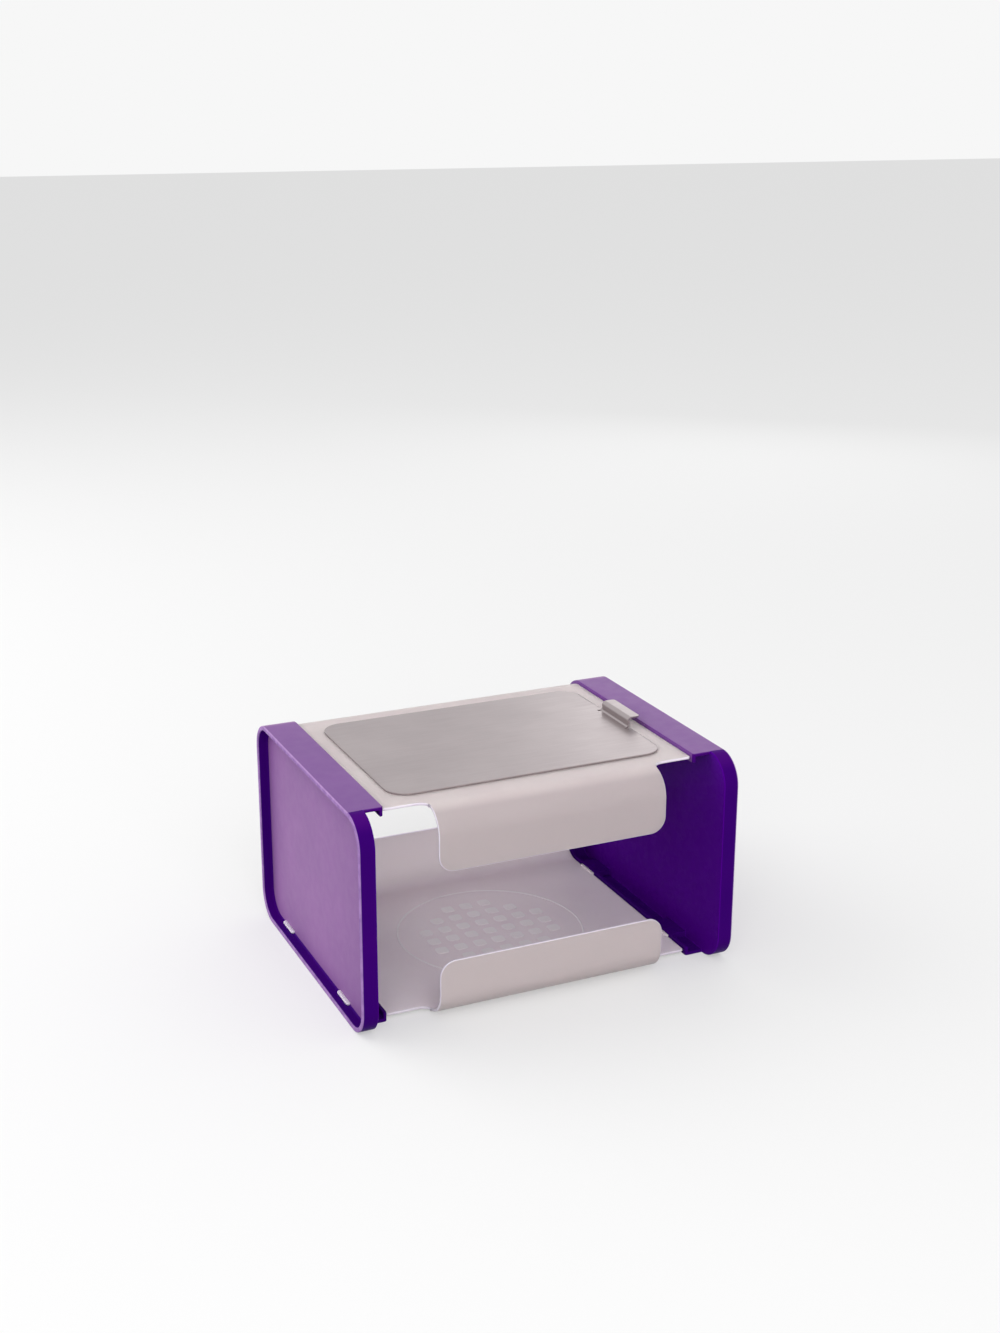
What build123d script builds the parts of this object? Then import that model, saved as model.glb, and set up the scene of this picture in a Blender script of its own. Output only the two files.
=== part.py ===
"""Freezer box for milk storage bags, in millimetres.

Two purple end panels carry two frosted panels, one above and one below. The two
frosted panels are one moulding, used the right way up and turned over, and so are
the two end panels. A loose aluminium quick-freeze tray lies on the top panel.
X runs along the box, -Y is the open front, Z is up from the surface it stands on.
The origin is in the middle of the base.
"""
from build123d import *
import os

# Overall sizes
box_length = 225.0  # over the outer faces of the end panels
box_depth = 174.0  # front to back
box_height = 125.0  # base to the top of the end panels
corner_radius = 17.0  # end panel corners, seen from the side

# End panel: a dish, open outwards, with a lip round its top, back and bottom
rim_depth = 9.0  # outer face to the inner face of the web
web_thickness = 2.8
rim_wall = 2.6
rim_edge_radius = 0.7
lip_reach = 11.0  # from the web to the lip's free edge
lip_thickness = 2.0
lip_flange_drop = 3.5  # how far the lip's edge turns in
lip_flange_thickness = 2.0
lip_end_radius = 1.5

# Frosted panel: a sheet with a flange along its front and its back
sheet_thickness = 1.5
panel_gap = 0.3  # between a panel's side edge and the lip beside it
flange_height = 34.5  # over the panel's outer face
front_corner_radius = 9.0  # free corners of the front flange
rear_corner_radius = 3.0  # free corners of the rear flange
notch_width = 24.7  # from the panel's side edge to the front flange
notch_setback = 2.0  # from the start of the front bend back to the notch's edge
notch_fillet = 6.5  # where a notch meets the front flange
plate_corner_radius = 1.5  # the sheet's front corners, beside the notches

# Tabs that join a frosted panel to the end panels, two at each end
tab_width = 16.4
tab_thickness = 1.4
tab_protrusion = 2.0  # past the web, inside the dish
tab_root_length = 5.0  # over the sheet, from its side edge
tab_corner_radius = 1.5
tab_front_inset = 28.5  # from the front of the side edge to the tab's centre
tab_rear_inset = 16.5  # from the back of the straight side edge to the tab's centre
slot_clearance = 0.2  # round a tab, on every side
sleeve_wall = 1.6  # beside a tab, where it crosses the end panel's lip

# Relief on the inner face of a frosted panel
relief_height = 0.4
ring_margin = 15.0  # from the ring to the bends
ring_width = 1.4
pad_size = 7.5
pad_pitch = 12.0
pad_corner_radius = 2.0
pad_field_margin = 12.0  # from the ring to the outermost pads

# Quick-freeze tray: a flat sheet with a finger tab at its right edge
tray_thickness = 1.2
tray_side_margin = 9.7  # from the tray to the panel's side edge
tray_front_margin = 13.0  # from the tray to the panel's front edge
tray_rear_margin = 9.0  # from the tray to the rear bend
tray_corner_radius = 12.5
tray_edge_radius = 0.35
finger_tab_width = 32.0
finger_tab_rise = 6.0  # over the tray's upper face
finger_tab_reach = 7.0  # outwards, from the tray's edge
finger_tab_bend = 1.8  # bend radius at the middle of the sheet
finger_tab_corner_radius = 2.0
relief_cut_width = 1.6

# Worked out from the sizes above
half_length = box_length / 2
half_depth = box_depth / 2
web_inner_x = half_length - rim_depth
web_outer_x = web_inner_x + web_thickness
lip_edge_x = web_inner_x - lip_reach
side_half = half_depth - corner_radius  # half the straight run of the end panel's top
panel_half_length = lip_edge_x - panel_gap
bend_radius = corner_radius - lip_thickness  # outside the sheet, concentric with the corner
panel_face_y = half_depth - lip_thickness
flange_half_width = panel_half_length - notch_width
notch_edge_y = -side_half + notch_setback
tab_middle = rim_wall + slot_clearance + tab_thickness / 2  # just over the dish's wall
tab_tip_x = web_outer_x + tab_protrusion
tab_centres = (-side_half + tab_front_inset, side_half - tab_rear_inset)
tray_half_length = panel_half_length - tray_side_margin
tray_front_y = -side_half + tray_front_margin
tray_rear_y = side_half - tray_rear_margin
tray_centre_y = (tray_front_y + tray_rear_y) / 2
tray_underside = box_height - lip_thickness
finger_tab_root_x = tray_half_length - finger_tab_bend - relief_cut_width
ring_radius = side_half - ring_margin


def side_profile(inset):
    """The end panel's outline, moved inwards by inset, as a face in the YZ plane."""
    outline = RectangleRounded(
        box_depth - 2 * inset, box_height - 2 * inset, corner_radius - inset
    )
    return Plane.YZ * Pos(0, box_height / 2) * outline


def slab(inset, x_from, x_to):
    """The end panel's outline as a plate between two places along the box."""
    return Pos(x_from, 0, 0) * extrude(side_profile(inset), x_to - x_from)


def lip_ring(thickness, x_from, x_to):
    """A band round the outline, cut away in front of the straight top and bottom."""
    band = slab(0, x_from, x_to) - slab(thickness, x_from, x_to)
    front = Pos((x_from + x_to) / 2, -half_depth, box_height / 2) * Box(
        x_to - x_from, 2 * corner_radius, box_height
    )
    return band - front


def tab_opening(y, x_from, x_to):
    """The clear space for one lower tab between two places along the box."""
    opening = Box(
        x_to - x_from, tab_width + 2 * slot_clearance, tab_thickness + 2 * slot_clearance
    )
    return Pos((x_from + x_to) / 2, y, tab_middle) * opening


def tab_sleeve(y):
    """The solid guide round one lower tab, from the lip's free edge to the web."""
    width = tab_width + 2 * (slot_clearance + sleeve_wall)
    sleeve = Box(web_inner_x - lip_edge_x, width, lip_flange_drop)
    sleeve_z = lip_thickness + lip_flange_drop / 2
    return Pos((lip_edge_x + web_inner_x) / 2, y, sleeve_z) * sleeve


def upside_down(shape):
    """The shape mirrored in the plane at half the box's height."""
    return mirror(shape, about=Plane.XY.offset(box_height / 2))


def both_heights(shapes):
    """The shapes and their copies for the other frosted panel."""
    return shapes + [upside_down(shape) for shape in shapes]


def build_end_panel():
    """The right-hand end panel."""
    dish = slab(0, web_inner_x, half_length) - slab(rim_wall, web_outer_x, half_length)
    outer_edges = dish.faces().sort_by(Axis.X)[-1].edges()
    dish = fillet(outer_edges, rim_edge_radius)
    lip = lip_ring(lip_thickness, lip_edge_x, web_inner_x)
    flange = lip_ring(
        lip_thickness + lip_flange_drop, lip_edge_x, lip_edge_x + lip_flange_thickness
    )
    lip = lip + flange
    lip_corners = (
        lip.edges().filter_by(Axis.Z).group_by(Axis.Y)[0].group_by(Axis.X)[0]
    )
    lip = fillet(lip_corners, lip_end_radius)
    panel = dish + lip
    for sleeve in both_heights([tab_sleeve(y) for y in tab_centres]):
        panel = panel + sleeve
    for slot in both_heights([tab_opening(y, lip_edge_x, web_outer_x) for y in tab_centres]):
        panel = panel - slot
    return panel


def panel_section():
    """The frosted panel's section across the box, as a face in the YZ plane."""
    outer_top = lip_thickness + flange_height
    points = [
        (-panel_face_y, outer_top),
        (-panel_face_y, lip_thickness),
        (panel_face_y, lip_thickness),
        (panel_face_y, outer_top),
    ]
    inner_face = panel_face_y - sheet_thickness
    inner_floor = lip_thickness + sheet_thickness
    inner_points = [
        (-inner_face, outer_top),
        (-inner_face, inner_floor),
        (inner_face, inner_floor),
        (inner_face, outer_top),
    ]
    outside = FilletPolyline(*points, radius=bend_radius)
    inside = FilletPolyline(*inner_points, radius=bend_radius - sheet_thickness)
    rims = [Line(points[0], inner_points[0]), Line(points[-1], inner_points[-1])]
    return Plane.YZ * make_face([outside, inside] + rims)


def build_relief():
    """A ring and a square grid of pads on the lower panel's inner face."""
    floor = Pos(0, 0, lip_thickness + sheet_thickness)
    ring = Circle(ring_radius + ring_width / 2) - Circle(ring_radius - ring_width / 2)
    relief = [floor * extrude(ring, relief_height)]
    field_radius = ring_radius - pad_field_margin
    count = int(field_radius // pad_pitch)
    for i in range(-count, count + 1):
        for j in range(-count, count + 1):
            corner = (abs(i) * pad_pitch, abs(j) * pad_pitch)
            if (corner[0] ** 2 + corner[1] ** 2) ** 0.5 <= field_radius:
                pad = RectangleRounded(pad_size, pad_size, pad_corner_radius)
                place = Pos(i * pad_pitch, j * pad_pitch, 0)
                relief.append(floor * place * extrude(pad, relief_height))
    return relief


def build_tab(y, side):
    """One tab of the lower panel, at its right (side 1) or left (side -1) end."""
    root_x = panel_half_length - tab_root_length
    tab = Box(tab_tip_x - root_x, tab_width, tab_thickness)
    tip_edges = tab.edges().filter_by(Axis.Z).group_by(Axis.X)[-1]
    tab = fillet(tip_edges, tab_corner_radius)
    tab = Pos((root_x + tab_tip_x) / 2, y, tab_middle) * tab
    return tab if side > 0 else mirror(tab, about=Plane.YZ)


def build_frosted_panel():
    """The lower frosted panel."""
    panel = Pos(-panel_half_length, 0, 0) * extrude(panel_section(), 2 * panel_half_length)
    for side in (-1, 1):
        notch = Box(2 * notch_width, 2 * (panel_face_y + notch_edge_y), box_height)
        inner_edge = notch.edges().filter_by(Axis.Z).group_by(Axis.Y)[-1]
        notch = fillet(inner_edge, notch_fillet)
        notch_x = side * (flange_half_width + notch_width)
        notch_y = -panel_face_y
        panel = panel - Pos(notch_x, notch_y, box_height / 2) * notch
    through_edges = panel.edges().filter_by(Axis.Y)
    top_edges = through_edges.group_by(Axis.Z)[-1].group_by(Axis.Y)
    panel = fillet(top_edges[0], front_corner_radius)
    top_edges = panel.edges().filter_by(Axis.Y).group_by(Axis.Z)[-1]
    panel = fillet(top_edges.group_by(Axis.Y)[-1], rear_corner_radius)
    side_edges = panel.edges().filter_by(Axis.Z).filter_by_position(
        Axis.Y, notch_edge_y - sheet_thickness / 2, notch_edge_y + sheet_thickness / 2
    )
    plate_corners = side_edges.group_by(Axis.X)[0] + side_edges.group_by(Axis.X)[-1]
    panel = fillet(plate_corners, plate_corner_radius)
    for side in (-1, 1):
        for y in tab_centres:
            panel = panel + build_tab(y, side)
    for shape in build_relief():
        panel = panel + shape
    return panel


def finger_tab_section():
    """The finger tab's section along the box: up from the tray, then outwards."""
    sheet_top = tray_underside + tray_thickness
    tab_top = sheet_top + finger_tab_rise
    tip_x = tray_half_length + finger_tab_reach
    wall_inner_x = tray_half_length - tray_thickness
    upper_points = [
        (finger_tab_root_x, sheet_top),
        (wall_inner_x, sheet_top),
        (wall_inner_x, tab_top),
        (tip_x, tab_top),
    ]
    lower_points = [
        (finger_tab_root_x, tray_underside),
        (tray_half_length, tray_underside),
        (tray_half_length, tab_top - tray_thickness),
        (tip_x, tab_top - tray_thickness),
    ]
    inner_radius = finger_tab_bend - tray_thickness / 2
    outer_radius = finger_tab_bend + tray_thickness / 2
    upper = FilletPolyline(*upper_points, radius=[inner_radius, outer_radius])
    lower = FilletPolyline(*lower_points, radius=[outer_radius, inner_radius])
    root = Line(upper_points[0], lower_points[0])
    tip = Line(upper_points[-1], lower_points[-1])
    return Plane.XZ * make_face([upper, lower, root, tip])


def build_tray():
    """The quick-freeze tray with its finger tab."""
    length = 2 * tray_half_length
    width = tray_rear_y - tray_front_y
    sheet = extrude(RectangleRounded(length, width, tray_corner_radius), tray_thickness)
    rims = sheet.faces().sort_by(Axis.Z)
    sheet = fillet(rims[0].edges() + rims[-1].edges(), tray_edge_radius)
    sheet = Pos(0, tray_centre_y, tray_underside) * sheet
    root_length = 2 * (tray_half_length - finger_tab_root_x)
    root = Box(root_length, finger_tab_width + 2 * relief_cut_width, 2 * tray_thickness)
    sheet = sheet - Pos(tray_half_length, tray_centre_y, tray_underside) * root
    tab = extrude(finger_tab_section(), finger_tab_width / 2, both=True)
    tip_edges = tab.edges().filter_by(Axis.Z).group_by(Axis.X)[-1]
    tab = fillet(tip_edges, finger_tab_corner_radius)
    return sheet + Pos(0, tray_centre_y, 0) * tab


if __name__ == "__main__":
    os.makedirs("parts", exist_ok=True)
    right_end = build_end_panel()
    lower = build_frosted_panel()
    pieces = {
        "left_end_panel": mirror(right_end, about=Plane.YZ),
        "right_end_panel": right_end,
        "bottom_panel": lower,
        "top_panel": upside_down(lower),
        "quick_freeze_tray": build_tray(),
    }
    for name, shape in pieces.items():
        export_step(shape, f"parts/{name}.step")
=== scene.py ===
"""Looks of the milk storage freezer box: two moulded ends, two frosted panels and a metal tray.

Every length is in metres, in the box's own frame: X along the box, -Y out of its open
front and Z up from the surface that it stands on.
"""
import logging
import math
from collections.abc import Callable
from dataclasses import dataclass
from enum import Enum

import bmesh
import bpy
from mathutils import Matrix, Vector

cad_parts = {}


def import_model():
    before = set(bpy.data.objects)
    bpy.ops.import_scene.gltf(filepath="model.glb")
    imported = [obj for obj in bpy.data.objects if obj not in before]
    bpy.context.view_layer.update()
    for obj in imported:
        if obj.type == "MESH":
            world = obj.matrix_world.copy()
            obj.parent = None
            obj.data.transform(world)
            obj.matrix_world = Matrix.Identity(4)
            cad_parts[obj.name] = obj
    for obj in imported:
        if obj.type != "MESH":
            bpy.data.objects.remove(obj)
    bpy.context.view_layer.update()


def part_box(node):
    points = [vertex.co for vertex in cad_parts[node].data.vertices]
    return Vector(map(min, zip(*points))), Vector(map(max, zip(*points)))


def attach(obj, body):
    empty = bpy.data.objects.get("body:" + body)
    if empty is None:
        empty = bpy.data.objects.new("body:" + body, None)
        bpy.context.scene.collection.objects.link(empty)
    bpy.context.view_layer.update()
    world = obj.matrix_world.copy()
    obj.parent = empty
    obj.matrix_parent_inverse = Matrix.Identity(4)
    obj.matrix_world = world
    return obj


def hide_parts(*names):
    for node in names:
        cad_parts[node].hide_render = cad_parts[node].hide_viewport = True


MM = 0.001
TINY = 0.01 * MM  # points nearer than this are one point
FACING = 0.9  # a face points along an axis where its normal's share of it is more
ACROSS = 0.1  # a face lies along an axis where its normal's share of it is less
SHARP_TURN = 60  # degrees; an edge that turns further is sharp, and is rounded
PATCHES = (0.3, 0.7)  # the values of a noise that its soft patches lie between
TAB_CENTRES = (-41.5 * MM, 53.5 * MM)  # where the tabs and their slots are, along Y
Point = tuple[float, float, float]
Colour = tuple[float, float, float, float]
log = logging.getLogger("freezer_box")


class Slot(Enum):
    """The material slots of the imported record."""

    PURPLE = "purple_plastic"
    FROSTED = "frosted_plastic"
    ALUMINIUM = "satin_aluminium"


class Texture(Enum):
    """How a moulded face leaves its tool, and its place in a piece's list of finishes; the satin
    and grained faces also get lighter purples, painted light that stands in for the light falling
    on them.
    """

    POLISHED = 0
    SATIN = 1
    GRAINED = 2


class Face(Enum):
    """The faces of a frosted sheet, and their places in a piece's list of finishes."""

    OUTER = 0
    EDGE = 1
    INNER = 2


class Bench:
    """One mesh being shaped in edit mode, with its parts picked by place or normal."""

    RING_FLATS = 120
    SECTION_FLATS = 12
    CUT_REACH = 1e-7

    def __init__(self, name: str) -> None:
        """Starts with nothing selected.

        Args:
            name: name of the piece that is made.
        """
        self.name = name
        self.obj: bpy.types.Object | None = None
        if bpy.context.object and bpy.context.object.mode != "OBJECT":
            bpy.ops.object.mode_set(mode="OBJECT")
        bpy.ops.object.select_all(action="DESELECT")

    def _adopt(self, size: Vector | Point) -> None:
        """Takes the primitive that was just added, sizes it and opens it.

        Args:
            size: how much larger it becomes along each axis.
        """
        self.obj = bpy.context.active_object
        self.obj.scale = size
        self.obj.name = self.name
        self.obj.data.name = self.name
        bpy.ops.object.transform_apply(location=True, rotation=True, scale=True)
        bpy.ops.object.mode_set(mode="EDIT")
        bpy.ops.mesh.select_all(action="DESELECT")

    def block(self, low: Point, high: Point) -> "Bench":
        """Adds a block between two corners.

        Args:
            low: lowest corner.
            high: highest corner.

        Returns:
            The bench itself.
        """
        low_corner, high_corner = Vector(low), Vector(high)
        bpy.ops.mesh.primitive_cube_add(size=1, location=(low_corner + high_corner) / 2)
        self._adopt(high_corner - low_corner)
        return self

    def sheet(self, low: Point, high: Point) -> "Bench":
        """Adds a flat sheet, level, between two corners.

        Args:
            low: corner at the lowest X and Y.
            high: corner at the highest X and Y, at the same Z.

        Returns:
            The bench itself.
        """
        low_corner, high_corner = Vector(low), Vector(high)
        span = high_corner - low_corner
        bpy.ops.mesh.primitive_plane_add(size=1, location=(low_corner + high_corner) / 2)
        self._adopt((span.x, span.y, 1))
        return self

    def ring(self, centre: Point, radius: float, width: float, height: float) -> "Bench":
        """Adds a low round ring with an oval section.

        Args:
            centre: middle of the ring.
            radius: from the middle to the section's centre.
            width: width of the section.
            height: height of the section.

        Returns:
            The bench itself.
        """
        bpy.ops.mesh.primitive_torus_add(
            location=centre,
            major_radius=radius,
            minor_radius=width / 2,
            major_segments=self.RING_FLATS,
            minor_segments=self.SECTION_FLATS,
        )
        self._adopt((1, 1, 1))
        bpy.ops.mesh.select_all(action="SELECT")
        bpy.ops.transform.resize(value=(1, 1, height / width), center_override=centre)
        bpy.ops.mesh.select_all(action="DESELECT")
        return self

    def _pick(self, mode: str, test: Callable[[bmesh.types.BMesh], list]) -> int:
        """Selects what the test returns, and nothing else."""
        bpy.ops.mesh.select_mode(type=mode)
        bpy.ops.mesh.select_all(action="DESELECT")
        mesh = bmesh.from_edit_mesh(self.obj.data)
        mesh.normal_update()
        found = test(mesh)
        for item in found:
            item.select_set(True)
        mesh.select_flush_mode()
        bmesh.update_edit_mesh(self.obj.data)
        return len(found)

    def faces(self, test: Callable[[Vector, Vector], bool]) -> int:
        """Selects faces.

        Args:
            test: says whether a face with this centre and this normal is wanted.

        Returns:
            How many were selected.
        """
        return self._pick(
            "FACE",
            lambda mesh: [f for f in mesh.faces if test(f.calc_center_median(), f.normal)],
        )

    def edges(self, test: Callable[[Vector, Vector], bool]) -> int:
        """Selects edges.

        Args:
            test: says whether an edge between these two points is wanted.

        Returns:
            How many were selected.
        """
        return self._pick(
            "EDGE", lambda mesh: [e for e in mesh.edges if test(e.verts[0].co, e.verts[1].co)]
        )

    def points(self, test: Callable[[Vector], bool]) -> int:
        """Selects the points whose places pass the test, and says how many there are."""
        return self._pick("VERT", lambda mesh: [v for v in mesh.verts if test(v.co)])

    def sharp_edges(self, degrees: float, test: Callable[[Vector, Vector], bool]) -> int:
        """Selects edges that turn by more than an angle.

        Args:
            degrees: smallest turn between the two faces.
            test: says whether an edge between these two points is wanted.

        Returns:
            How many were selected.
        """
        limit = math.radians(degrees)
        return self._pick(
            "EDGE",
            lambda mesh: [
                e
                for e in mesh.edges
                if len(e.link_faces) == 2
                and e.calc_face_angle(0) > limit
                and test(e.verts[0].co, e.verts[1].co)
            ],
        )

    def extrude(self, offset: Point) -> None:
        """Extrudes the selection by an offset along each axis."""
        bpy.ops.mesh.extrude_region_move(TRANSFORM_OT_translate={"value": offset})

    def grow(self, distance: float) -> None:
        """Extrudes the selected faces along their normals.

        Args:
            distance: how far.
        """
        bpy.ops.mesh.extrude_region_shrink_fatten(
            TRANSFORM_OT_shrink_fatten={"value": distance, "use_even_offset": True}
        )

    def inset(self, thickness: float) -> None:
        """Insets the selected faces, inside a band of this thickness."""
        bpy.ops.mesh.inset(thickness=thickness, use_even_offset=True)

    def _bevel(self, radius: float, steps: int, affect: str) -> None:
        """Bevels the selection.

        Args:
            radius: radius of the round.
            steps: number of flats across it.
            affect: EDGES or VERTICES.
        """
        bpy.ops.mesh.bevel(
            offset=radius,
            offset_type="OFFSET",
            segments=steps,
            affect=affect,
            clamp_overlap=False,
        )

    def round_edges(self, radius: float, steps: int) -> None:
        """Rounds the selected edges, with a number of flats across the round."""
        self._bevel(radius, steps, "EDGES")

    def round_corners(self, radius: float, steps: int) -> None:
        """Rounds a flat sheet's outline at the selected points, with a number of flats."""
        self._bevel(radius, steps, "VERTICES")

    def cut_across(self, place: Point, normal: Point) -> None:
        """Cuts new edges into all faces where a plane meets them.

        Args:
            place: a point on the plane.
            normal: the plane's normal.
        """
        bpy.ops.mesh.select_mode(type="FACE")
        bpy.ops.mesh.select_all(action="SELECT")
        bpy.ops.mesh.bisect(plane_co=place, plane_no=normal, threshold=self.CUT_REACH)

    def fold(
        self,
        axis: int,
        start: float,
        level: float,
        radius: float,
        quarter: float,
        steps: int = 12,
        part: Callable[[Vector], bool] = lambda p: True,
    ) -> None:
        """Folds a flat sheet a quarter turn, up or down, about a line across it.

        The sheet beyond start, away from the middle, first gets edges across the bend,
        and is then turned a step at a time from its outer end.

        Args:
            axis: 0 for a line along Y at a place on X, 1 for a line along X at a place on Y.
            start: place where the bend begins; its sign says which way is outwards.
            level: height of the flat sheet.
            radius: radius of the bend in the sheet's own surface.
            quarter: 1 to fold upwards, -1 to fold downwards.
            steps: number of flats round the bend.
            part: says whether a point belongs to the part that is folded.
        """
        outwards = math.copysign(1, start)
        length = radius * math.pi / 2
        places = [start + outwards * length * i / steps for i in range(steps + 1)]
        normal = (1, 0, 0) if axis == 0 else (0, 1, 0)
        for place in places:
            self.cut_across((place, 0, level) if axis == 0 else (0, place, level), normal)
        step = quarter * outwards * math.pi / 2 / steps
        for place in reversed(places):
            self.points(lambda p, at=place: (p[axis] - at) * outwards > TINY and part(p))
            pivot = (place, 0, level) if axis == 0 else (0, place, level)
            self.turn(axis, pivot, step / 2 if place in (places[0], places[-1]) else step)

    def turn(self, axis: int, pivot: Point, angle: float) -> None:
        """Turns the selection about a level line.

        Args:
            axis: 0 turns in the XZ plane, 1 in the YZ plane.
            pivot: a point on the line.
            angle: turn from the outward direction towards +Z, in radians.
        """
        if axis == 0:
            bpy.ops.transform.rotate(value=angle, orient_axis="Y", center_override=pivot)
        else:
            bpy.ops.transform.rotate(value=-angle, orient_axis="X", center_override=pivot)

    def close(self) -> bpy.types.Object:
        """Leaves edit mode.

        Returns:
            The object.
        """
        bpy.ops.mesh.select_all(action="DESELECT")
        bpy.ops.object.mode_set(mode="OBJECT")
        return self.obj


def take_up(obj: bpy.types.Object) -> None:
    """Makes an object the only selected one, and the active one.

    Args:
        obj: the object.
    """
    bpy.ops.object.select_all(action="DESELECT")
    obj.select_set(True)
    bpy.context.view_layer.objects.active = obj


def apply_modifier(obj: bpy.types.Object, kind: str, **settings: object) -> None:
    """Adds a modifier, sets it and applies it.

    Args:
        obj: the object.
        kind: Blender's name for the kind of modifier.
        settings: the modifier's properties.
    """
    take_up(obj)
    modifier = obj.modifiers.new(kind.lower(), kind)
    for key, value in settings.items():
        setattr(modifier, key, value)
    bpy.ops.object.modifier_apply(modifier=modifier.name)


def round_sheet(obj: bpy.types.Object, width: float, **settings: object) -> None:
    """Rounds the sharp edges of a bent sheet.

    Args:
        obj: the sheet, once it has its thickness.
        width: width of the round.
        settings: more of the modifier's properties.
    """
    apply_modifier(
        obj,
        "BEVEL",
        width=width,
        segments=3,
        limit_method="ANGLE",
        angle_limit=math.radians(50),
        use_clamp_overlap=False,
        **settings,
    )


def recalculate(obj: bpy.types.Object) -> None:
    """Merges doubled points, drops faces with no area and turns every face outwards.

    Args:
        obj: the object, selected and active.
    """
    bpy.ops.object.mode_set(mode="EDIT")
    bpy.ops.mesh.select_all(action="SELECT")
    bpy.ops.mesh.remove_doubles(threshold=TINY)
    bpy.ops.mesh.dissolve_degenerate(threshold=TINY)
    bpy.ops.mesh.select_all(action="SELECT")
    bpy.ops.mesh.normals_make_consistent(inside=False)
    bpy.ops.mesh.select_all(action="DESELECT")
    bpy.ops.object.mode_set(mode="OBJECT")


def combine(obj: bpy.types.Object, tools: list[bpy.types.Object], operation: str) -> None:
    """Joins tools to an object, or cuts them out of it, and removes the tools.

    Args:
        obj: the object that is changed.
        tools: closed meshes, clear of each other.
        operation: UNION or DIFFERENCE.
    """
    bpy.ops.object.select_all(action="DESELECT")
    for tool in tools:
        tool.select_set(True)
    bpy.context.view_layer.objects.active = tools[0]
    if len(tools) > 1:
        bpy.ops.object.join()
    tool = bpy.context.view_layer.objects.active
    apply_modifier(obj, "BOOLEAN", operation=operation, object=tool, solver="EXACT")
    bpy.data.objects.remove(tool)


def smooth(obj: bpy.types.Object, degrees: float = 40) -> None:
    """Shades the rounds smooth and the flats flat.

    Args:
        obj: the object.
        degrees: edges that turn further stay sharp.
    """
    take_up(obj)
    bpy.ops.object.shade_smooth_by_angle(angle=math.radians(degrees))
    apply_modifier(obj, "WEIGHTED_NORMAL", weight=100, keep_sharp=True)


def mirrored(obj: bpy.types.Object, name: str, axis: int, about: float) -> bpy.types.Object:
    """Makes a mirrored copy with its own mesh, its faces still pointing outwards.

    Args:
        obj: the object.
        name: name of the copy.
        axis: 0, 1 or 2, the axis across the mirror plane.
        about: the mirror plane's place on that axis.

    Returns:
        The copy.
    """
    copy = obj.copy()
    copy.data = obj.data.copy()
    copy.name = name
    copy.data.name = name
    bpy.context.scene.collection.objects.link(copy)
    take_up(copy)
    bpy.ops.object.mode_set(mode="EDIT")
    bpy.ops.mesh.select_all(action="SELECT")
    scale = [1.0, 1.0, 1.0]
    scale[axis] = -1.0
    pivot = [0.0, 0.0, 0.0]
    pivot[axis] = about
    bpy.ops.transform.resize(value=scale, center_override=pivot)
    bpy.ops.mesh.normals_make_consistent(inside=False)
    bpy.ops.mesh.select_all(action="DESELECT")
    bpy.ops.object.mode_set(mode="OBJECT")
    return copy


# ---------------------------------------------------------------- finishes


@dataclass(frozen=True)
class Relief:
    """The fine relief of a finish: bumps per metre, their depth and how much of it shows."""

    scale: float
    depth: float
    strength: float


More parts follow.
